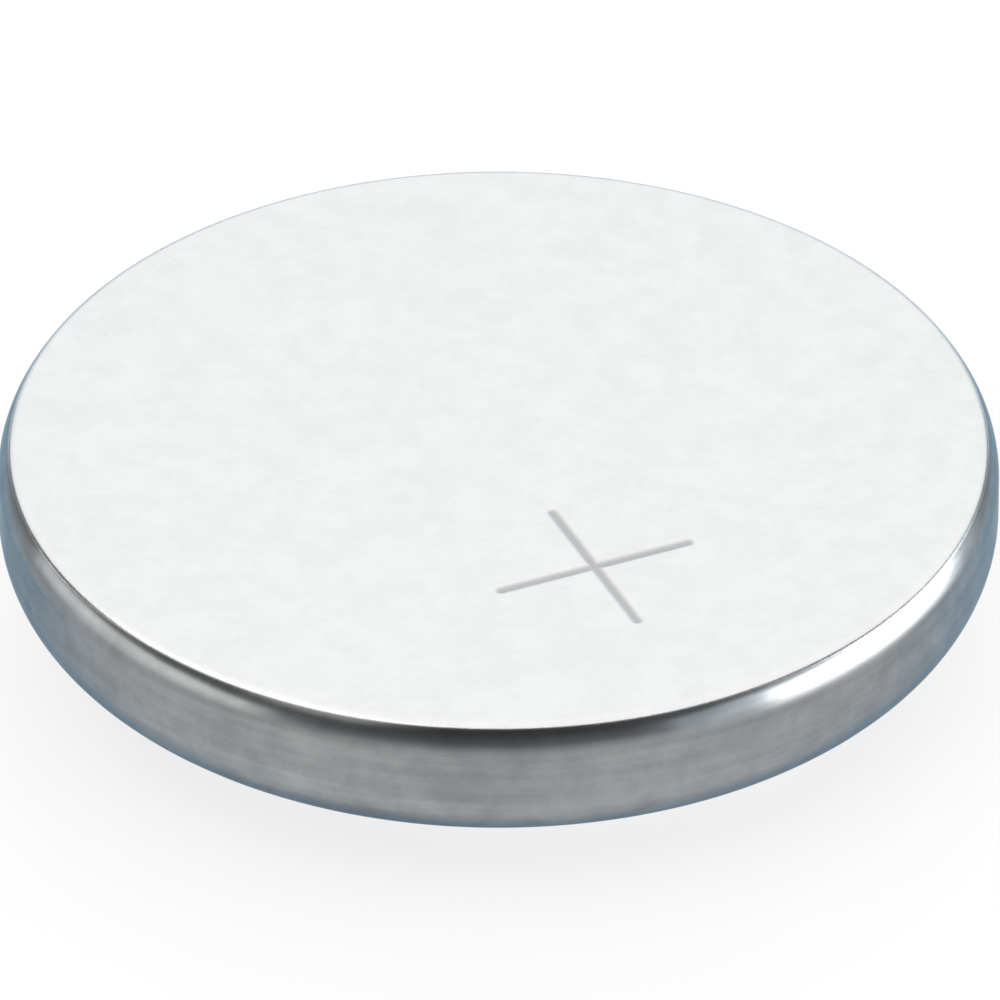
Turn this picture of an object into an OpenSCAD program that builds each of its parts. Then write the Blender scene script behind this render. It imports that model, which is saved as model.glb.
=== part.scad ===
// Lithium coin cell of the 12.5 mm by 2.5 mm size.
// It lies as it rests on a table: the negative contact is on Z = 0 and the
// positive face looks up. Every piece is turned about the Z axis.

/* [Cell] */
// Outside diameter of the can
cell_d = 12.5; // [10:0.1:24.5]
// Overall height, from the negative contact to the positive face
cell_h = 2.5; // [2.3:0.05:4]
// How far the negative cap stands out of the can's rolled lip
cap_drop = 0.6; // [0.4:0.05:0.8]
// Width of the crimped rim, from the outside of the can to the cap's cup
rim_w = 1.35; // [1.2:0.05:1.6]

/* [Positive can] */
// Thickness of the can's sheet
can_t = 0.2; // [0.15:0.01:0.25]
// Width of the rounded edge round the positive face
face_edge_w = 0.25; // [0.2:0.01:0.28]
// Height of the rounded edge round the positive face
face_edge_h = 0.45; // [0.35:0.01:0.5]
// Radius of the tight bend where the edge runs into the face
face_bend_r = 0.15; // [0.1:0.01:0.17]
// Radius of the hollow corner inside the can
can_corner_r = 0.15; // [0.1:0.01:0.2]
// Outer radius of the lip that is rolled in over the seal
lip_r = 0.95; // [0.75:0.05:1.1]

/* [Negative cap] */
// Thickness of the cap's sheet
cap_t = 0.2; // [0.15:0.01:0.25]
// Outer radius of the edge round the negative contact
contact_edge_r = 0.4; // [0.3:0.05:0.5]
// Radius of the hollow corner between the cap's cup and its shoulder
shoulder_fillet_r = 0.1; // [0.05:0.01:0.15]

/* [Gasket] */
// Thickness of the gasket's walls
gasket_t = 0.25; // [0.2:0.01:0.3]
// Width of the gasket that shows between the lip and the cap
seal_w = 0.22; // [0.15:0.01:0.3]
// Depth of the gasket's visible edge inside the lip's lowest point
seal_recess = 0.05; // [0.02:0.01:0.15]
// Gap between the gasket's inner wall and the bend of the cap's shoulder
upstand_gap = 0.1; // [0.05:0.01:0.2]

/* [Stack] */
// Thickness of the lithium disc
lithium_t = 0.45; // [0.3:0.05:0.6]
// Gap between the lithium disc and the rounded corner inside the cap
lithium_gap = 0.05; // [0.02:0.01:0.3]
// Radius of the lithium disc's edges
lithium_edge_r = 0.08; // [0.02:0.01:0.14]
// Thickness of the separator's felt
separator_t = 0.15; // [0.1:0.01:0.2]
// Gap between the separator and the wall of the cap's cup
separator_gap = 0.05; // [0.02:0.01:0.1]
// Height of the separator's turned-up wall above its floor
separator_h = 0.7; // [0.4:0.05:1]
// Gap between the cathode pellet and the separator's wall
pellet_gap = 0.05; // [0.02:0.01:0.1]
// Bevel round both faces of the cathode pellet
pellet_bevel = 0.1; // [0.05:0.01:0.2]
// Thickness of the perforated collector
collector_t = 0.1; // [0.05:0.01:0.15]
// Distance from the collector's edge to the pellet's edge
collector_inset = 0.15; // [0.05:0.01:0.5]
// Diameter of the collector's holes
collector_hole_d = 0.5; // [0.3:0.05:0.6]
// Distance between the collector's holes, from centre to centre
collector_pitch = 0.78; // [0.7:0.01:1.2]

/* [Hidden] */
$fn = 128;

// Margin by which a cut passes the face that it opens
over = 0.05;

// Radii, from the outside in
can_r = cell_d / 2;
can_bore_r = can_r - can_t;
skirt_r = can_bore_r - gasket_t;
skirt_bore_r = skirt_r - cap_t;
upstand_bore_r = skirt_bore_r - gasket_t;
contact_r = can_r - rim_w;
mouth_r = contact_r + seal_w;
cup_bore_r = contact_r - cap_t;
lithium_r = contact_r - contact_edge_r - lithium_gap;
separator_r = cup_bore_r - separator_gap;
separator_bore_r = separator_r - separator_t;
pellet_r = separator_bore_r - pellet_gap;
collector_r = pellet_r - collector_inset;

// The can's edge is a tight bend and a wide arc that touch each other, so the
// distance between their centres is the difference of their radii
bend_rise = face_edge_h - face_bend_r;
face_arc_r = (pow(face_edge_w, 2) + pow(bend_rise, 2) - pow(face_bend_r, 2))
    / (2 * (face_edge_w - face_bend_r));
bend_reach = face_arc_r - face_edge_w;
face_arc_z = cell_h - face_edge_h;

// The lip, the gasket and the cap's shoulder bend round one centre line
lip_bore_r = lip_r - can_t;
shoulder_r = lip_bore_r - gasket_t;

// Heights, from the negative contact up
lip_z = cap_drop;
lip_top_z = lip_z + can_t;
seal_z = lip_z + seal_recess;
shoulder_z = lip_top_z + gasket_t;
upstand_z = lip_z + lip_r + upstand_gap;
floor_z = cell_h - can_t;
skirt_end_z = floor_z - gasket_t;
separator_z = cap_t + lithium_t;
pellet_z = separator_z + separator_t;
collector_z = floor_z - collector_t;

// Holes of the collector, in rings of six, twelve, eighteen and so on
holes_per_ring = 6;
collector_rings = floor((collector_r - collector_hole_d) / collector_pitch);

// What a round of radius r takes off the lower right corner of a section
// whose corner is at the origin
module corner_waste(r) {
    difference() {
        translate([-r, -over]) square(r + over);
        translate([-r, r]) circle(r);
    }
}

// Half section of a disc from z0 to z1, its edges rounded below and above
module disc_section(r, z0, z1, low_r, top_r) {
    difference() {
        translate([0, z0]) square([r, z1 - z0]);
        if (low_r > 0) translate([r, z0]) corner_waste(low_r);
        if (top_r > 0) translate([r, z1]) mirror([0, 1]) corner_waste(top_r);
    }
}

// Half section of the can as a filled disc. A tight bend goes round its upper face
// and runs into a wide arc, which runs into the wall.
module can_outside_section() {
    flat_r = can_r - face_edge_w;
    far = 3;
    disc_section(can_r, lip_z, face_arc_z, lip_r, 0);
    translate([0, face_arc_z]) square([flat_r, face_edge_h]);
    translate([flat_r, cell_h - face_bend_r]) circle(face_bend_r);
    translate([can_r - face_arc_r, face_arc_z])
        intersection() {
            circle(face_arc_r);
            polygon([[0, 0], [far * bend_reach, 0], [far * bend_reach, far * bend_rise]]);
        }
}

// Half section of the room inside the can, down to the top of its lip
module can_bore_section() {
    disc_section(can_bore_r, lip_top_z, floor_z, lip_bore_r, can_corner_r);
}

// Half section of the cap as a filled hat, taken in by the given depth
module hat_section(inset) {
    wall_r = contact_r - inset;
    under_z = shoulder_z + inset;
    disc_section(wall_r, inset, skirt_end_z, contact_edge_r - inset, 0);
    disc_section(skirt_r - inset, under_z, skirt_end_z, shoulder_r - inset, 0);
    translate([wall_r, under_z])
        mirror([1, 0]) mirror([0, 1]) corner_waste(shoulder_fillet_r + inset);
}

// Deep-drawn cup. Its floor is the positive face, and its wall is rolled in
// over the seal.
module positive_can() {
    color([0.86, 0.86, 0.85])
        rotate_extrude()
            difference() {
                can_outside_section();
                can_bore_section();
                translate([0, lip_z - over]) square([mouth_r, can_t + 2 * over]);
            }
}

// Moulded ring. It lines the can, holds the cap's skirt in a channel and
// shows as a thin line between the lip and the cap.
module gasket() {
    tip_r = gasket_t / 2;
    color([0.16, 0.17, 0.18])
        rotate_extrude() {
            difference() {
                union() {
                    can_bore_section();
                    translate([0, seal_z]) square([mouth_r, shoulder_z - seal_z]);
                }
                hat_section(0);
                translate([0, lip_z]) square([upstand_bore_r, cell_h]);
            }
            translate([upstand_bore_r, upstand_z + tip_r])
                square([gasket_t, floor_z - upstand_z - tip_r]);
            translate([upstand_bore_r + tip_r, upstand_z + tip_r]) circle(tip_r);
        }
}

// Drawn hat with a contact cup, a shoulder under the lip and a skirt
module negative_cap() {
    color([0.80, 0.80, 0.79])
        rotate_extrude()
            difference() {
                hat_section(0);
                hat_section(cap_t);
            }
}

// Soft disc pressed on the inside of the contact
module lithium_anode() {
    color([0.74, 0.75, 0.78])
        rotate_extrude()
            disc_section(lithium_r, cap_t, separator_z, lithium_edge_r, lithium_edge_r);
}

// Felt cup that keeps the pellet off the lithium and off the cap. It is bent
// round the pellet's bevelled edge.
module separator() {
    wall_end_z = pellet_z + separator_h;
    color([0.95, 0.95, 0.92])
        rotate_extrude()
            difference() {
                disc_section(separator_r, separator_z, wall_end_z, pellet_bevel + separator_t, 0);
                disc_section(separator_bore_r, pellet_z, wall_end_z + over, pellet_bevel, 0);
            }
}

// Pressed tablet with bevelled edges, from the separator to the collector
module cathode_pellet() {
    color([0.13, 0.13, 0.14])
        rotate_extrude()
            polygon([
                [0, pellet_z],
                [pellet_r - pellet_bevel, pellet_z],
                [pellet_r, pellet_z + pellet_bevel],
                [pellet_r, collector_z - pellet_bevel],
                [pellet_r - pellet_bevel, collector_z],
                [0, collector_z]
            ]);
}

// Perforated steel disc between the pellet and the can's floor
module cathode_collector() {
    color([0.62, 0.63, 0.64])
        translate([0, 0, collector_z])
            difference() {
                cylinder(r = collector_r, h = collector_t);
                for (ring = [1 : collector_rings], i = [0 : holes_per_ring * ring - 1])
                    rotate(i * 360 / (holes_per_ring * ring))
                        translate([ring * collector_pitch, 0, -over])
                            cylinder(d = collector_hole_d, h = collector_t + 2 * over);
            }
}

positive_can();
gasket();
negative_cap();
lithium_anode();
separator();
cathode_pellet();
cathode_collector();
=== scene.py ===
# %% [markdown]
# # A lithium coin cell
# This notebook dresses the coin cell's solid model for a studio picture. The real
# cell is a shallow steel can, closed by a smaller steel cap, with a plastic ring
# squeezed between the two. Almost every shape is turned about one axis, so most of
# the modelling is done on a half section, which is then spun round the Z axis.
# The solid model is loaded first, because each new piece takes its size from it.

# %% Load the solid model
import math

import bmesh
import bpy
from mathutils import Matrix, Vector


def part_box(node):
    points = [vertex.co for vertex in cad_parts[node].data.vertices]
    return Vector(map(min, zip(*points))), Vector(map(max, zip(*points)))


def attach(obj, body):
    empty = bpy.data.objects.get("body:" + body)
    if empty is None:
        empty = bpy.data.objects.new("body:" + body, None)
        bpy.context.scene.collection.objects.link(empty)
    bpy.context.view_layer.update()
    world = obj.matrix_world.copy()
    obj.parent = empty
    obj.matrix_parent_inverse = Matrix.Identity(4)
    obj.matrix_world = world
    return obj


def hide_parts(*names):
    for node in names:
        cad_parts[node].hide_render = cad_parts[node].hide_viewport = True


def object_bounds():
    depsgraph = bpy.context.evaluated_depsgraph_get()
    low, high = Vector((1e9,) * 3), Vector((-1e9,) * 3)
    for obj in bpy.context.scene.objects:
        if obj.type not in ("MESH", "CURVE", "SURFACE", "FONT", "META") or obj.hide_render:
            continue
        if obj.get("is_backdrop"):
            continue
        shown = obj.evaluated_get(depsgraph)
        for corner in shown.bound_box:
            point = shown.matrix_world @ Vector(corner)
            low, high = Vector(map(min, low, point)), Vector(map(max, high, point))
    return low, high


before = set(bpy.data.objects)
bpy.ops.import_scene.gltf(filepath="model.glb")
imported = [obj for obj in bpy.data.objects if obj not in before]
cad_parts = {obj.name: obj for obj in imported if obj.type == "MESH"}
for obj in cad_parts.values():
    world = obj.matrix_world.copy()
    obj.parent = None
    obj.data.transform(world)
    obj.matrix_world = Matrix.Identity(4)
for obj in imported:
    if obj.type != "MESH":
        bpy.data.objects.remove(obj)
cad_low, cad_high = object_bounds()
print("pieces in the solid model:", ", ".join(sorted(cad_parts)))

# %% [markdown]
# ## The sizes
# The boxes of the solid pieces give the outside sizes. The radii and the sheet
# thickness can't be read from a box, so they are repeated here by name. Blender
# works in metres, and one millimetre has its own name to keep the values readable.

# %% Sizes of the cell
MM = 0.001
can_low, can_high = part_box("positive_can")
seal_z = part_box("gasket")[0].z
cap_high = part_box("negative_cap")[1]

sheet_t = 0.2 * MM
gasket_t = 0.25 * MM
rim_w = 1.35 * MM
seal_w = 0.22 * MM
face_edge_w = 0.25 * MM
face_edge_h = 0.45 * MM
face_bend_r = 0.15 * MM
face_arc_r = 0.65 * MM
can_corner_r = 0.15 * MM
lip_r = 0.95 * MM
contact_edge_r = 0.4 * MM
shoulder_fillet_r = 0.1 * MM
upstand_gap = 0.1 * MM

can_r = can_high.x
face_z = can_high.z
lip_z = can_low.z
floor_z = face_z - sheet_t
can_bore_r = can_r - sheet_t
contact_r = can_r - rim_w
mouth_r = contact_r + seal_w
skirt_r = cap_high.x
skirt_end_z = cap_high.z
lip_bore_r = lip_r - sheet_t
shoulder_r = lip_bore_r - gasket_t
shoulder_z = lip_z + sheet_t + gasket_t
print("can: radius %.2f mm, from %.2f to %.2f mm" % (can_r / MM, lip_z / MM, face_z / MM))
print("cap: radius %.2f mm, up to %.2f mm" % (skirt_r / MM, skirt_end_z / MM))

# %% [markdown]
# ## The camera
# The cell was photographed from about 35 degrees above the table through a long
# lens, which is why its outline is almost a pure ellipse. The camera stands a
# quarter of a metre away. The point that it aims at lies a little off the can's
# middle, which puts the cell in the frame where the picture has it.

# %% Place the camera
CAMERA_ELEVATION = math.radians(34.8)
CAMERA_DISTANCE = 250 * MM
CAMERA_LENS = 719.9
AIM_RIGHT = 0.018 * MM
AIM_UP = 0.053 * MM


def place_camera():
    """A camera in front of the cell and above it, aimed at the can's middle height."""
    back = Vector((0, -math.cos(CAMERA_ELEVATION), math.sin(CAMERA_ELEVATION)))
    right = Vector((1, 0, 0))
    aim = Vector((0, 0, (lip_z + face_z) / 2)) + right * AIM_RIGHT + back.cross(right) * AIM_UP
    data = bpy.data.cameras.new("camera")
    data.lens = CAMERA_LENS
    data.clip_start = 10 * MM
    data.clip_end = 3.0
    camera = bpy.data.objects.new("camera", data)
    camera.location = aim + back * CAMERA_DISTANCE
    camera.rotation_euler = (-back).to_track_quat("-Z", "Y").to_euler()
    bpy.context.scene.collection.objects.link(camera)
    bpy.context.scene.camera = camera
    return camera


camera = place_camera()
bpy.context.scene.view_settings.view_transform = "Standard"
print("camera at", [round(value / MM, 1) for value in camera.location], "mm")

# %% [markdown]
# ## The light
# Steel has hardly a look of its own: it shows the studio. A wide soft panel behind
# and above the cell is what the satin face mirrors, and it makes the face nearly
# white. A low bright panel at the right draws the highlight below the face, and a
# wider dim one round it lets the highlight fade out. Two weaker panels at the left
# lift that side. No lamp stands in front, and that gives the dark band along the
# near edge.

# %% Lamps and world
HORIZON_LEVEL = 0.27
ZENITH_LEVEL = 0.05
DIM_FROM = 0.5
PANEL_DISTANCE = 0.5
NEUTRAL = (1, 1, 1)
WARM = (1, 1, 0.98)
COOL = (0.8, 0.91, 1)
ROOM_COLOUR = (0.94, 0.97, 1.0, 1)


def lamp_panel(name, azimuth, elevation, size, radiance, colour):
    """A soft panel that faces the cell. Azimuth 0 is behind the cell, 90 at its right."""
    turn = math.radians(azimuth)
    rise = math.radians(elevation)
    level = math.cos(rise)
    outward = Vector((math.sin(turn) * level, math.cos(turn) * level, math.sin(rise)))
    data = bpy.data.lights.new(name, "AREA")
    data.shape = "RECTANGLE"
    data.size = size[0]
    data.size_y = size[1]
    data.energy = radiance * size[0] * size[1] * math.pi
    data.color = colour
    panel = bpy.data.objects.new(name, data)
    panel.location = outward * PANEL_DISTANCE
    panel.rotation_euler = outward.to_track_quat("Z", "Y").to_euler()
    bpy.context.scene.collection.objects.link(panel)
    return panel


def set_world():
    """A dim surround that grows lighter down to the horizon, as a room does over a white table."""
    world = bpy.data.worlds.new("studio")
    world.use_nodes = True
    tree = world.node_tree
    direction = tree.nodes.new("ShaderNodeTexCoord").outputs["Generated"]
    parts = tree.nodes.new("ShaderNodeSeparateXYZ")
    tree.links.new(direction, parts.inputs[0])
    fall = tree.nodes.new("ShaderNodeMapRange")
    fall.inputs["From Max"].default_value = DIM_FROM
    fall.inputs["To Min"].default_value = HORIZON_LEVEL
    fall.inputs["To Max"].default_value = ZENITH_LEVEL
    tree.links.new(parts.outputs[2], fall.inputs["Value"])
    background = tree.nodes["Background"]
    background.inputs["Color"].default_value = ROOM_COLOUR
    tree.links.new(fall.outputs[0], background.inputs["Strength"])
    bpy.context.scene.world = world


set_world()
lamp_panel("back_panel", azimuth=0, elevation=67, size=(1.3, 1.9), radiance=1.26, colour=NEUTRAL)
lamp_panel("right_panel", azimuth=93, elevation=9, size=(0.48, 0.165), radiance=6.5, colour=NEUTRAL)
lamp_panel("right_wings", azimuth=98, elevation=12, size=(0.95, 0.24), radiance=0.95, colour=COOL)
lamp_panel("left_panel", azimuth=-96, elevation=6, size=(0.64, 0.11), radiance=1.5, colour=WARM)
lamp_panel("high_left_panel", azimuth=-115, elevation=46, size=(0.6, 0.3), radiance=0.8, colour=WARM)
print("lamps:", ", ".join(light.name for light in bpy.data.lights))

# %% [markdown]
# ## Turning a section
# A drawn cup, a hat and a moulded ring are all turned shapes. Each starts as a few
# corner points of its half section. The corners are rounded by a bevel on the
# vertices, which gives true arcs, and a spin sweeps the outline round the axis.
# Just beside each arc an extra point holds the shading flat, so that flat faces
# stay flat in the reflections.

# %% Helpers for turned pieces
TURN_STEPS = 256
ARC_STEPS = 16
HOLD = 0.03 * MM
MERGE = 0.0004 * MM
SHARP_ANGLE = math.radians(50)


def rounded_outline(corners, is_ring):
    """The outline of a section with corners (r, z, radius). A ring's outline is closed."""
    bm = bmesh.new()
    vertices = [bm.verts.new((r, 0, z)) for r, z, radius in corners]
    bm.faces.new(vertices)
    closing = bm.edges.get((vertices[-1], vertices[0]))
    for vertex, corner in zip(vertices, corners):
        if corner[2] > 0:
            bmesh.ops.bevel(bm, geom=[vertex], offset=corner[2], segments=ARC_STEPS, profile=0.5,
                            affect="VERTICES", material=-1)
    bmesh.ops.delete(bm, geom=bm.faces[:], context="FACES_ONLY")
    if not is_ring:
        bmesh.ops.delete(bm, geom=[closing], context="EDGES")
    return bm


def arc_corners(centre_r, centre_z, radius, start, end):
    """Corners along an arc of a section, made by turning one vertex round the arc's centre."""
    bm = bmesh.new()
    first_r = centre_r + radius * math.cos(start)
    first_z = centre_z + radius * math.sin(start)
    first = bm.verts.new((first_r, 0, first_z))
    bmesh.ops.spin(bm, geom=[first], cent=(centre_r, 0, centre_z), axis=(0, -1, 0), dvec=(0, 0, 0),
                   angle=end - start, steps=ARC_STEPS)
    corners = [(vertex.co.x, vertex.co.z, 0) for vertex in bm.verts]
    bm.free()
    return corners


def hold_straights(bm):
    """Splits each straight run close to both its ends."""
    for edge in [edge for edge in bm.edges if edge.calc_length() > 4 * HOLD]:
        start, end = edge.verts
        middle = bmesh.utils.edge_split(edge, start, HOLD / edge.calc_length())[1]
        rest = next(other for other in middle.link_edges if end in other.verts)
        bmesh.utils.edge_split(rest, end, HOLD / rest.calc_length())


def spin_outline(bm):
    """Spins the outline once round the Z axis, fills the flat discs and turns the normals out."""
    bmesh.ops.spin(bm, geom=bm.edges[:], cent=(0, 0, 0), axis=(0, 0, 1), dvec=(0, 0, 0),
                   angle=2 * math.pi, steps=TURN_STEPS, use_merge=True)
    bmesh.ops.remove_doubles(bm, verts=bm.verts[:], dist=MERGE)
    rims = [edge for edge in bm.edges if edge.is_boundary]
    if rims:
        bmesh.ops.holes_fill(bm, edges=rims, sides=0)
    bmesh.ops.recalc_face_normals(bm, faces=bm.faces[:])


def finish_piece(bm, name):
    """Makes the bmesh an object that rides on the cell."""
    for edge in bm.edges:
        edge.smooth = not edge.is_manifold or edge.calc_face_angle() < SHARP_ANGLE
    for face in bm.faces:
        face.smooth = True
    mesh = bpy.data.meshes.new(name)
    bm.to_mesh(mesh)
    bm.free()
    piece = bpy.data.objects.new(name, mesh)
    bpy.context.scene.collection.objects.link(piece)
    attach(piece, "root")
    print("%s: %d faces" % (name, len(mesh.polygons)))
    return piece


# %% [markdown]
# ## The can
# The can is deep-drawn from one round of nickel-plated sheet. Its floor is the
# positive face. The wall is rolled in at its foot, over the seal. The section
# runs from the flat of the face outwards, down the wall, round the lip and back up
# the inside. The edge of the face is a tight bend and then a wide arc, because the
# face is pressed flat after drawing: the bend shows as a thin dark line, and the
# arc carries the broad highlight. The sheared edge at the mouth keeps a tiny round.

# %% Turn the can
SHEARED_R = 0.04 * MM
flat_r = can_r - face_edge_w
meet_angle = math.asin((face_edge_h - face_bend_r) / (face_arc_r - face_bend_r))
face_bend = arc_corners(flat_r, face_z - face_bend_r, face_bend_r, math.pi / 2, meet_angle)
face_arc = arc_corners(can_r - face_arc_r, face_z - face_edge_h, face_arc_r, meet_angle, 0)
print("bend and arc meet at %.1f degrees" % math.degrees(meet_angle))

can_section = face_bend + face_arc[1:] + [
    (can_r, lip_z, lip_r),
    (mouth_r, lip_z, SHEARED_R),
    (mouth_r, lip_z + sheet_t, SHEARED_R),
    (can_bore_r, lip_z + sheet_t, lip_bore_r),
    (can_bore_r, floor_z, can_corner_r),
    (can_bore_r - 2 * can_corner_r, floor_z, 0),
]
can_mesh = rounded_outline(can_section, is_ring=False)
hold_straights(can_mesh)
spin_outline(can_mesh)
print("can section swept in", TURN_STEPS, "steps,", len(can_mesh.faces), "faces")

# %% [markdown]
# ## The polarity sign
# A plus sign is stamped in the positive face, and it is the only sign that is kept:
# the names and numbers of the real cell are left off, so their place stays bare.
# The stamp leaves two shallow round-ended grooves. A square of the face round the
# sign is cut out with four planes and divided finely. Its vertices are then pressed
# down by their distance to the two strokes. The same distance is stored on the
# vertices, so that the material can paint shade into the groove.

# %% Stamp the plus sign
SIGN_CENTRE = Vector((1.19 * MM, -2.70 * MM, 0))
SIGN_TURN = math.radians(24)
ARM_HALF = 1.27 * MM
GROOVE_INNER = 0.018 * MM
GROOVE_OUTER = 0.095 * MM
GROOVE_DEPTH = 0.018 * MM
PATCH_HALF = 1.42 * MM
PATCH_CUTS = 170

arm_long = Vector((math.cos(SIGN_TURN), math.sin(SIGN_TURN), 0))
arm_cross = Vector((-math.sin(SIGN_TURN), math.cos(SIGN_TURN), 0))


def flat_top_faces(bm):
    """The faces of the flat disc inside the edge of the positive face."""
    found = []
    for face in bm.faces:
        low = min(vertex.co.z for vertex in face.verts)
        if low > face_z - MERGE and face.calc_center_median().xy.length < flat_r:
            found.append(face)
    return found


def cut_patch(bm):
    """Cuts a square out of the flat disc round the sign and divides it finely."""
    for direction in (arm_long, -arm_long, arm_cross, -arm_cross):
        faces = flat_top_faces(bm)
        edges = list({edge for face in faces for edge in face.edges})
        vertices = list({vertex for face in faces for vertex in face.verts})
        bmesh.ops.bisect_plane(bm, geom=vertices + edges + faces, dist=MERGE / 10,
                               plane_co=SIGN_CENTRE + direction * PATCH_HALF, plane_no=direction)
    patch = min(flat_top_faces(bm), key=lambda face: (face.calc_center_median() - SIGN_CENTRE).xy.length)
    bmesh.ops.subdivide_edges(bm, edges=patch.edges[:], cuts=PATCH_CUTS, use_grid_fill=True)


def stroke_share(point):
    """How deep in a stroke a point of the face lies, from 0 beside it to 1 in its middle."""
    offset = point - SIGN_CENTRE
    along = offset.dot(arm_long)
    across = offset.dot(arm_cross)
    to_long = math.hypot(max(abs(along) - ARM_HALF, 0), across)
    to_cross = math.hypot(max(abs(across) - ARM_HALF, 0), along)
    share = (GROOVE_OUTER - min(to_long, to_cross)) / (GROOVE_OUTER - GROOVE_INNER)
    share = min(max(share, 0), 1)
    return share * share * (3 - 2 * share)


def stamp_sign(bm):
    """Presses the sign's strokes into the patch and marks them."""
    mark = bm.verts.layers.float.new("mark")
    pressed = 0
    for vertex in bm.verts:
        if vertex.co.z > face_z - MERGE:
            share = stroke_share(Vector((vertex.co.x, vertex.co.y, 0)))
            vertex[mark] = share
            vertex.co.z -= GROOVE_DEPTH * share
            pressed += share > 0
    return pressed


cut_patch(can_mesh)
print("vertices pressed down by the stamp:", stamp_sign(can_mesh))
can = finish_piece(can_mesh, "can_shell")
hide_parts("positive_can")

# %% [markdown]
# ## The cap
# The cap is a small drawn hat. Its flat floor is the negative contact. Its shoulder
# and skirt are hidden: the gasket wraps them, and the can's lip presses on both.
# The section has one sheet thickness everywhere, as drawn sheet has.

# %% Turn the cap
cup_bore_r = contact_r - sheet_t
skirt_bore_r = skirt_r - sheet_t
cap_flat_r = contact_r - 2 * contact_edge_r

cap_section = [
    (cap_flat_r, 0, 0),
    (contact_r, 0, contact_edge_r),
    (contact_r, shoulder_z, shoulder_fillet_r),
    (skirt_r, shoulder_z, shoulder_r),
    (skirt_r, skirt_end_z, SHEARED_R),
    (skirt_bore_r, skirt_end_z, SHEARED_R),
    (skirt_bore_r, shoulder_z + sheet_t, shoulder_r - sheet_t),
    (cup_bore_r, shoulder_z + sheet_t, shoulder_fillet_r + sheet_t),
    (cup_bore_r, sheet_t, contact_edge_r - sheet_t),
    (cap_flat_r, sheet_t, 0),
]
cap_mesh = rounded_outline(cap_section, is_ring=False)
hold_straights(cap_mesh)
spin_outline(cap_mesh)
cap = finish_piece(cap_mesh, "cap_hat")
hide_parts("negative_cap")

# %% [markdown]
# ## The gasket
# The gasket is a moulded ring with a channel that holds the cap's skirt. Only its
# lower edge shows, as a thin dark line between the lip and the cap, and there the
# squeezed plastic bulges a little. The rest lines the can, so the section follows
# the can on its outer side and the cap on its inner side.

# %% Turn the gasket
BULGE_R = 0.09 * MM
TIP_R = 0.11 * MM
lining_r = skirt_bore_r - gasket_t
upstand_z = lip_z + lip_r + upstand_gap

gasket_section = [
    (contact_r, seal_z, BULGE_R),
    (mouth_r, seal_z, BULGE_R),
    (mouth_r, lip_z + sheet_t, 0),
    (can_bore_r, lip_z + sheet_t, lip_bore_r),
    (can_bore_r, floor_z, can_corner_r),
    (lining_r, floor_z, 0),
    (lining_r, upstand_z, TIP_R),
    (skirt_bore_r, upstand_z, TIP_R),
    (skirt_bore_r, skirt_end_z, 0),
    (skirt_r, skirt_end_z, 0),
    (skirt_r, shoulder_z, shoulder_r),
    (contact_r, shoulder_z, shoulder_fillet_r),
]
gasket_mesh = rounded_outline(gasket_section, is_ring=True)
hold_straights(gasket_mesh)
spin_outline(gasket_mesh)
gasket = finish_piece(gasket_mesh, "seal_ring")
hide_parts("gasket")

# %% [markdown]
# ## Tools for the materials
# All the finishes are worked out from the place of a point on the object, so they
# need no pictures and no unwrapping. Small helpers keep the node code short. The
# effects that several finishes share are groups: uneven tone, matt grain, drawn
# lines and hairline scratches. Sizes in them are in metres, so a scale of 10000
# gives details of a tenth of a millimetre.

# %% Node helpers
def set_input(tree, socket, value):
    """Links another node's output to a socket, or writes a plain value on it."""
    if isinstance(value, bpy.types.NodeSocket):
        tree.links.new(value, socket)
    else:
        socket.default_value = value


def add_node(tree, kind, values, **settings):
    """Adds a node with its settings, and its inputs by name or number."""
    node = tree.nodes.new(kind)
    for key, value in settings.items():
        setattr(node, key, value)
    for key, value in values.items():
        set_input(tree, node.inputs[key], value)
    return node


def calc(tree, operation, first, second=0.0):
    """The result of a sum with two values."""
    return add_node(tree, "ShaderNodeMath", {0: first, 1: second}, operation=operation).outputs[0]


def between(tree, share, low, high):
    """A value between two others."""
    return add_node(tree, "ShaderNodeMix", {0: share, 2: low, 3: high}, data_type="FLOAT").outputs[0]


def tinted(tree, share, first, second):
    """A colour between two others."""
    return add_node(tree, "ShaderNodeMix", {0: share, 6: first, 7: second}, data_type="RGBA").outputs[2]


def scaled_colour(tree, colour, factor):
    """A colour made lighter or darker by a factor."""
    inputs = {0: colour, "Scale": factor}
    return add_node(tree, "ShaderNodeVectorMath", inputs, operation="SCALE").outputs[0]


def smooth_step(tree, value, low, high):
    """Rises smoothly from 0 to 1 as a value goes from low to high."""
    inputs = {"Value": value, "From Min": low, "From Max": high}
    return add_node(tree, "ShaderNodeMapRange", inputs, interpolation_type="SMOOTHSTEP").outputs[0]


def noise(tree, vector, scale, detail=2.0):
    """Cloudy noise between 0 and 1."""
    inputs = {"Vector": vector, "Scale": scale, "Detail": detail, "Roughness": 0.55}
    return add_node(tree, "ShaderNodeTexNoise", inputs).outputs[0]


def stretched(tree, vector, factors):
    """Coordinates stretched by one factor for each axis."""
    inputs = {0: vector, 1: factors}
    return add_node(tree, "ShaderNodeVectorMath", inputs, operation="MULTIPLY").outputs[0]


def new_group(name, inputs, outputs):
    """An empty node group with a Vector input, number inputs and number outputs."""
    group = bpy.data.node_groups.new(name, "ShaderNodeTree")
    group.interface.new_socket("Vector", in_out="INPUT", socket_type="NodeSocketVector")
    for label, value in inputs.items():
        socket = group.interface.new_socket(label, in_out="INPUT", socket_type="NodeSocketFloat")
        socket.default_value = value
    for label in outputs:
        group.interface.new_socket(label, in_out="OUTPUT", socket_type="NodeSocketFloat")
    given = group.nodes.new("NodeGroupInput").outputs
    result = group.nodes.new("NodeGroupOutput").inputs
    return group, given, result


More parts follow.
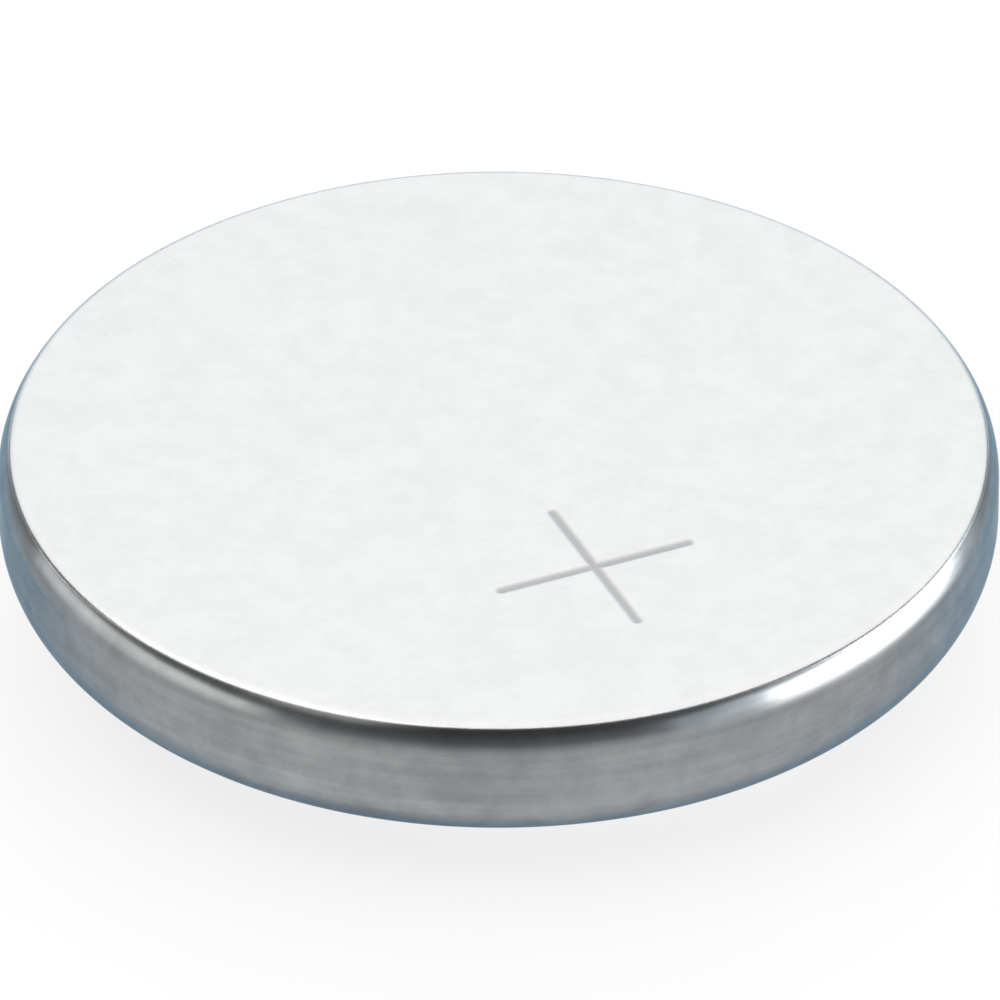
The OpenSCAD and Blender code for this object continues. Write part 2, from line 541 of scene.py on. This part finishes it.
def use_group(tree, group, values):
    """Places a group in a material and gives back its outputs."""
    return add_node(tree, "ShaderNodeGroup", values, node_tree=group).outputs


# %% Shared effects
def make_uneven_tone():
    """Large soft patches and smaller ones, from 0 to 1."""
    group, given, result = new_group("uneven_tone", {"Patch Scale": 3000, "Fine Scale": 12000}, ["Tone"])
    patches = noise(group, given["Vector"], given["Patch Scale"], 1.0)
    fine = noise(group, given["Vector"], given["Fine Scale"], 2.0)
    set_input(group, result["Tone"], smooth_step(group, between(group, 0.4, patches, fine), 0.3, 0.7))
    return group


def make_matt_grain():
    """The tiny hills of a matt surface, as a height from 0 to 1."""
    group, given, result = new_group("matt_grain", {"Scale": 20000}, ["Height"])
    coarse = noise(group, given["Vector"], given["Scale"], 1.0)
    fine = noise(group, given["Vector"], calc(group, "MULTIPLY", given["Scale"], 2.7), 1.0)
    set_input(group, result["Height"], between(group, 0.45, coarse, fine))
    return group


def make_drawn_lines():
    """Lines that run round the axis: on a wall they stack up, on a face they are circles."""
    group, given, result = new_group("drawn_lines", {"Along": 500, "Across": 14000}, ["Wall", "Face"])
    parts = add_node(group, "ShaderNodeSeparateXYZ", {0: given["Vector"]}).outputs
    flat = add_node(group, "ShaderNodeCombineXYZ", {0: parts[0], 1: parts[1]}).outputs[0]
    radius = add_node(group, "ShaderNodeVectorMath", {0: flat}, operation="LENGTH").outputs["Value"]
    along_x = calc(group, "MULTIPLY", parts[0], given["Along"])
    along_y = calc(group, "MULTIPLY", parts[1], given["Along"])
    for label, across in (("Wall", parts[2]), ("Face", radius)):
        place = add_node(group, "ShaderNodeCombineXYZ", {0: along_x, 1: along_y})
        set_input(group, place.inputs[2], calc(group, "MULTIPLY", across, given["Across"]))
        set_input(group, result[label], noise(group, place.outputs[0], 1.0, 2.0))
    return group


def make_hairlines():
    """Fine scratches from handling, as a mask. They run two ways and fade in and out."""
    group, given, result = new_group("hairlines", {"Scale": 900, "Fineness": 16}, ["Mask"])
    masks = []
    for turn, shift in ((0.5, 0.0), (-1.1, 7.0)):
        turned = add_node(group, "ShaderNodeVectorRotate", {"Vector": given["Vector"], "Angle": turn},
                          rotation_type="Z_AXIS").outputs[0]
        parts = add_node(group, "ShaderNodeSeparateXYZ", {0: turned}).outputs
        fine_y = calc(group, "MULTIPLY", parts[1], given["Fineness"])
        place = add_node(group, "ShaderNodeCombineXYZ", {0: parts[0], 1: fine_y, 2: shift}).outputs[0]
        streak = noise(group, place, given["Scale"], 1.0)
        line = calc(group, "ABSOLUTE", calc(group, "SUBTRACT", streak, 0.5))
        line = calc(group, "SUBTRACT", 1.0, smooth_step(group, line, 0.0, 0.012))
        fade = smooth_step(group, noise(group, turned, given["Scale"], 0.0), 0.52, 0.68)
        masks.append(calc(group, "MULTIPLY", line, fade))
    set_input(group, result["Mask"], calc(group, "MAXIMUM", masks[0], masks[1]))
    return group


uneven_tone = make_uneven_tone()
matt_grain = make_matt_grain()
drawn_lines = make_drawn_lines()
hairlines = make_hairlines()
print("groups:", ", ".join(group.name for group in bpy.data.node_groups))


# %% Start and finish of every material
def start_material(name):
    """A material, its node tree, its shader and the object's own coordinates."""
    material = bpy.data.materials.new(name)
    material.use_nodes = True
    tree = material.node_tree
    shader = tree.nodes["Principled BSDF"]
    place = tree.nodes.new("ShaderNodeTexCoord").outputs["Object"]
    return material, tree, shader, place


def add_bump(tree, shader, height, depth):
    """Raises the surface by a height from 0 to 1, times a depth in metres."""
    bump = add_node(tree, "ShaderNodeBump", {"Height": height, "Distance": depth, "Strength": 1.0})
    set_input(tree, shader.inputs["Normal"], bump.outputs[0])


# %% [markdown]
# ## The can's steel
# The can has two finishes on one piece of steel. The face keeps a fine matt grain
# from the stamp, and the wall and the lip are burnished by the drawing die, which
# leaves faint lines all round. The finish changes over along the round of the edge,
# so the depth below the face is a good mask for it: first the grain ends, then the
# pale satin, and further down the polished edge grows rougher into the wall. Where
# the pale satin ends, the colour of the steel also drops to a dark grey: that is
# painted shade, for the dim floor that the wall mirrors. Small and wide patches of
# tone keep the wall from looking even. In the strokes of the sign the colour is
# darker too, and that is painted shade in the groove.

# %% Make the can's steel
# Depths below the face: where each change of finish and of the wall's painted shade starts, and where it
# is done
GRAIN_ENDS = (GROOVE_DEPTH, GROOVE_DEPTH + 0.02 * MM)
SATIN_AND_SHADE_ENDS = (0.045 * MM, 0.075 * MM)
WALL_STARTS = (0.3 * MM, 0.5 * MM)


def make_can_steel():
    """Satin face and burnished wall, with painted shade in the wall's dark colour and in the strokes."""
    material, tree, shader, place = start_material("can_steel")
    height_above = add_node(tree, "ShaderNodeSeparateXYZ", {0: place}).outputs[2]
    on_face = smooth_step(tree, height_above, face_z - SATIN_AND_SHADE_ENDS[1], face_z - SATIN_AND_SHADE_ENDS[0])
    on_flat = smooth_step(tree, height_above, face_z - GRAIN_ENDS[1], face_z - GRAIN_ENDS[0])
    on_wall = smooth_step(tree, height_above, face_z - WALL_STARTS[0], face_z - WALL_STARTS[1])
    mark = add_node(tree, "ShaderNodeAttribute", {}, attribute_name="mark").outputs["Fac"]

    tone = use_group(tree, uneven_tone, {"Vector": place, "Patch Scale": 2600, "Fine Scale": 11000})[0]
    wide_tone = use_group(tree, uneven_tone, {"Vector": place, "Patch Scale": 420, "Fine Scale": 1300})[0]
    lines = use_group(tree, drawn_lines, {"Vector": place, "Along": 420, "Across": 9000})
    grain = use_group(tree, matt_grain, {"Vector": place, "Scale": 19000})[0]
    scratch = use_group(tree, hairlines, {"Vector": place, "Scale": 800, "Fineness": 18})[0]

    face_tone = between(tree, tone, 0.965, 1.03)
    wall_tone = between(tree, tone, 0.94, 1.06)
    wall_tone = calc(tree, "MULTIPLY", wall_tone, between(tree, wide_tone, 0.9, 1.12))
    wall_tone = calc(tree, "MULTIPLY", wall_tone, between(tree, lines["Wall"], 0.82, 1.18))
    light = between(tree, on_face, wall_tone, face_tone)
    # Painted shade in the strokes of the sign.
    light = calc(tree, "MULTIPLY", light, between(tree, mark, 1.0, 0.64))
    light = calc(tree, "MULTIPLY", light, between(tree, scratch, 1.0, 0.96))
    # Painted shade: the wall and the lip get a much darker colour than the face, for the dim floor they
    # mirror.
    colour = tinted(tree, on_face, (0.31, 0.315, 0.32, 1), (0.72, 0.715, 0.71, 1))
    set_input(tree, shader.inputs["Base Color"], scaled_colour(tree, colour, light))

    wall_rough = between(tree, lines["Wall"], 0.19, 0.27)
    wall_rough = calc(tree, "ADD", wall_rough, calc(tree, "MULTIPLY", on_wall, 0.08))
    face_rough = between(tree, tone, 0.36, 0.42)
    rough = between(tree, on_flat, wall_rough, face_rough)
    rough = calc(tree, "ADD", rough, calc(tree, "MULTIPLY", mark, 0.08))
    set_input(tree, shader.inputs["Roughness"], rough)
    relief = between(tree, on_face, calc(tree, "MULTIPLY", lines["Wall"], 0.5), grain)
    add_bump(tree, shader, relief, 0.0018 * MM)
    shader.inputs["Metallic"].default_value = 1.0
    # The blue tint at grazing angles is a painted reflection: a blue sheen along the wall's edges.
    shader.inputs["Specular Tint"].default_value = (0.35, 0.5, 0.62, 1)
    return material


can.data.materials.append(make_can_steel())
print("finished:", can.name)

# %% [markdown]
# ## The cap's steel
# The negative contact is satin too, with faint circles from the polishing wheel and
# a few hairlines where spring contacts have rubbed it.

# %% Make the cap's steel
def make_cap_steel():
    """Satin steel with circular polishing lines."""
    material, tree, shader, place = start_material("cap_steel")
    tone = use_group(tree, uneven_tone, {"Vector": place, "Patch Scale": 1800, "Fine Scale": 9000})[0]
    lines = use_group(tree, drawn_lines, {"Vector": place, "Along": 300, "Across": 21000})
    scratch = use_group(tree, hairlines, {"Vector": place, "Scale": 700, "Fineness": 20})[0]

    light = between(tree, tone, 0.95, 1.05)
    light = calc(tree, "MULTIPLY", light, between(tree, lines["Face"], 0.9, 1.1))
    light = calc(tree, "MULTIPLY", light, between(tree, scratch, 1.0, 0.93))
    set_input(tree, shader.inputs["Base Color"], scaled_colour(tree, (0.62, 0.62, 0.61), light))
    set_input(tree, shader.inputs["Roughness"], between(tree, lines["Face"], 0.24, 0.42))
    add_bump(tree, shader, lines["Face"], 0.0012 * MM)
    shader.inputs["Metallic"].default_value = 1.0
    return material


cap.data.materials.append(make_cap_steel())
print("finished:", cap.name)

# %% [markdown]
# ## The seal's plastic
# The gasket is moulded polypropylene. It is nearly black, a little greasy in its
# shine, and it has the faint grain of the mould.

# %% Make the seal's plastic
def make_seal_plastic():
    """Dark moulded plastic."""
    material, tree, shader, place = start_material("seal_plastic")
    tone = use_group(tree, uneven_tone, {"Vector": place, "Patch Scale": 2000, "Fine Scale": 15000})[0]
    grain = use_group(tree, matt_grain, {"Vector": place, "Scale": 30000})[0]
    light = between(tree, tone, 0.8, 1.25)
    set_input(tree, shader.inputs["Base Color"], scaled_colour(tree, (0.03, 0.032, 0.035), light))
    set_input(tree, shader.inputs["Roughness"], between(tree, tone, 0.38, 0.5))
    add_bump(tree, shader, grain, 0.0015 * MM)
    return material


gasket.data.materials.append(make_seal_plastic())
print("finished:", gasket.name)

# %% [markdown]
# ## The pieces inside
# The stack inside the sealed cell can't be seen until the lip is unrolled, and its
# solid pieces are simple enough to stay as they are. They still get their own
# finishes: rolled lithium foil, a felt of crossing fibres, a pressed black powder
# with glints of graphite, and a perforated sheet of plain steel.

# %% Finish the inner pieces
def make_lithium_metal():
    """Soft dull metal with rolling lines."""
    material, tree, shader, place = start_material("lithium_metal")
    tone = use_group(tree, uneven_tone, {"Vector": place, "Patch Scale": 900, "Fine Scale": 7000})[0]
    rolled = noise(tree, stretched(tree, place, (300, 9000, 300)), 1.0, 3.0)
    light = calc(tree, "MULTIPLY", between(tree, tone, 0.85, 1.08), between(tree, rolled, 0.9, 1.1))
    set_input(tree, shader.inputs["Base Color"], scaled_colour(tree, (0.6, 0.61, 0.64), light))
    set_input(tree, shader.inputs["Roughness"], between(tree, tone, 0.45, 0.62))
    add_bump(tree, shader, rolled, 0.003 * MM)
    shader.inputs["Metallic"].default_value = 1.0
    return material


def make_separator_felt():
    """White felt of crossing fibres."""
    material, tree, shader, place = start_material("separator_felt")
    one_way = noise(tree, stretched(tree, place, (3000, 26000, 26000)), 1.0, 2.0)
    other_way = noise(tree, stretched(tree, place, (26000, 3000, 26000)), 1.0, 2.0)
    fibres = calc(tree, "MAXIMUM", one_way, other_way)
    light = between(tree, smooth_step(tree, fibres, 0.4, 0.7), 0.8, 1.05)
    set_input(tree, shader.inputs["Base Color"], scaled_colour(tree, (0.85, 0.85, 0.82), light))
    set_input(tree, shader.inputs["Roughness"], between(tree, fibres, 0.98, 0.85))
    add_bump(tree, shader, fibres, 0.012 * MM)
    return material


def make_pellet_powder():
    """Pressed black powder with small glints."""
    material, tree, shader, place = start_material("pellet_powder")
    grain = use_group(tree, matt_grain, {"Vector": place, "Scale": 24000})[0]
    glints = smooth_step(tree, noise(tree, place, 40000, 1.0), 0.66, 0.72)
    colour = tinted(tree, glints, (0.022, 0.022, 0.024, 1), (0.14, 0.14, 0.15, 1))
    light = between(tree, grain, 0.7, 1.3)
    set_input(tree, shader.inputs["Base Color"], scaled_colour(tree, colour, light))
    set_input(tree, shader.inputs["Roughness"], between(tree, glints, 0.8, 0.4))
    add_bump(tree, shader, grain, 0.006 * MM)
    return material


def make_collector_steel():
    """Plain rolled sheet."""
    material, tree, shader, place = start_material("collector_steel")
    rolled = noise(tree, stretched(tree, place, (400, 15000, 400)), 1.0, 3.0)
    scratch = use_group(tree, hairlines, {"Vector": place, "Scale": 1100, "Fineness": 14})[0]
    light = calc(tree, "MULTIPLY", between(tree, rolled, 0.88, 1.1), between(tree, scratch, 1.0, 0.9))
    set_input(tree, shader.inputs["Base Color"], scaled_colour(tree, (0.5, 0.5, 0.51), light))
    set_input(tree, shader.inputs["Roughness"], between(tree, rolled, 0.25, 0.42))
    add_bump(tree, shader, rolled, 0.001 * MM)
    shader.inputs["Metallic"].default_value = 1.0
    return material


def dress_node(name, material):
    """Gives a solid piece of the model a new material."""
    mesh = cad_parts[name].data
    mesh.materials.clear()
    mesh.materials.append(material)


dress_node("lithium_anode", make_lithium_metal())
dress_node("separator", make_separator_felt())
dress_node("cathode_pellet", make_pellet_powder())
dress_node("cathode_collector", make_collector_steel())
print("materials:", ", ".join(sorted(material.name for material in bpy.data.materials)))

# %% [markdown]
# ## The floor
# The cell lies on a plain sheet of white card. The card is a large flat square
# whose only job is to catch the soft shadow and to be mirrored in the can's wall.
# A part of its white shows to the camera and in reflections whatever the light, so
# the picture has a white ground without more lamps, and the shadow stays. Seen in
# the steel the card also shines at low angles, as a lacquered table does. That
# draws the highlight out towards the wall and darkens the band in front.

# %% Lay the floor
FLOOR_HALF = 0.6
FLOOR_DROP = 0.002 * MM
WHITE_SHARE = 0.8
SHINE_ROUGHNESS = 0.12
SHINE_IOR = 2.0


def make_white_card():
    """White card that keeps its shadow, shows partly as plain white and shines in the steel."""
    material, tree, shader, place = start_material("white_card")
    tone = use_group(tree, uneven_tone, {"Vector": place, "Patch Scale": 120, "Fine Scale": 2500})[0]
    light = between(tree, tone, 0.99, 1.0)
    set_input(tree, shader.inputs["Base Color"], scaled_colour(tree, (0.93, 0.93, 0.93), light))
    shader.inputs["Roughness"].default_value = 0.25
    shine_values = {"Color": (1, 1, 1, 1), "Roughness": SHINE_ROUGHNESS}
    shine = add_node(tree, "ShaderNodeBsdfAnisotropic", shine_values)
    grazing = add_node(tree, "ShaderNodeFresnel", {"IOR": SHINE_IOR}).outputs[0]
    white = add_node(tree, "ShaderNodeEmission", {"Color": (1, 1, 1, 1), "Strength": 1.0})
    path = tree.nodes.new("ShaderNodeLightPath").outputs
    seen = calc(tree, "ADD", path["Is Camera Ray"], path["Is Glossy Ray"])
    seen = calc(tree, "ADD", seen, path["Is Transmission Ray"])
    share = calc(tree, "MULTIPLY", calc(tree, "MINIMUM", seen, 1.0), WHITE_SHARE)
    mixed = add_node(tree, "ShaderNodeMixShader", {0: share, 1: shader.outputs[0], 2: white.outputs[0]})
    shining = calc(tree, "MULTIPLY", path["Is Glossy Ray"], grazing)
    card = add_node(tree, "ShaderNodeMixShader", {0: shining, 1: mixed.outputs[0], 2: shine.outputs[0]})
    set_input(tree, tree.nodes["Material Output"].inputs["Surface"], card.outputs[0])
    return material


def lay_floor():
    """A large square just under the cell."""
    bm = bmesh.new()
    bmesh.ops.create_grid(bm, x_segments=1, y_segments=1, size=FLOOR_HALF)
    bmesh.ops.translate(bm, verts=bm.verts[:], vec=(0, 0, -FLOOR_DROP))
    mesh = bpy.data.meshes.new("floor")
    bm.to_mesh(mesh)
    bm.free()
    mesh.materials.append(make_white_card())
    floor = bpy.data.objects.new("floor", mesh)
    bpy.context.scene.collection.objects.link(floor)
    floor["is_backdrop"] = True
    return floor


floor = lay_floor()
print("floor side:", 2 * FLOOR_HALF, "m")

# %% [markdown]
# ## The boxes
# The dressed cell is meant to fill the same box as the solid model. Both boxes are
# printed.

# %% Write the sizes and finish
visual_low, visual_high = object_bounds()
for label, low, high in (("solid model", cad_low, cad_high), ("dressed cell", visual_low, visual_high)):
    print(label, "box:", ["%.3f" % ((b - a) / MM) for a, b in zip(low, high)], "mm")
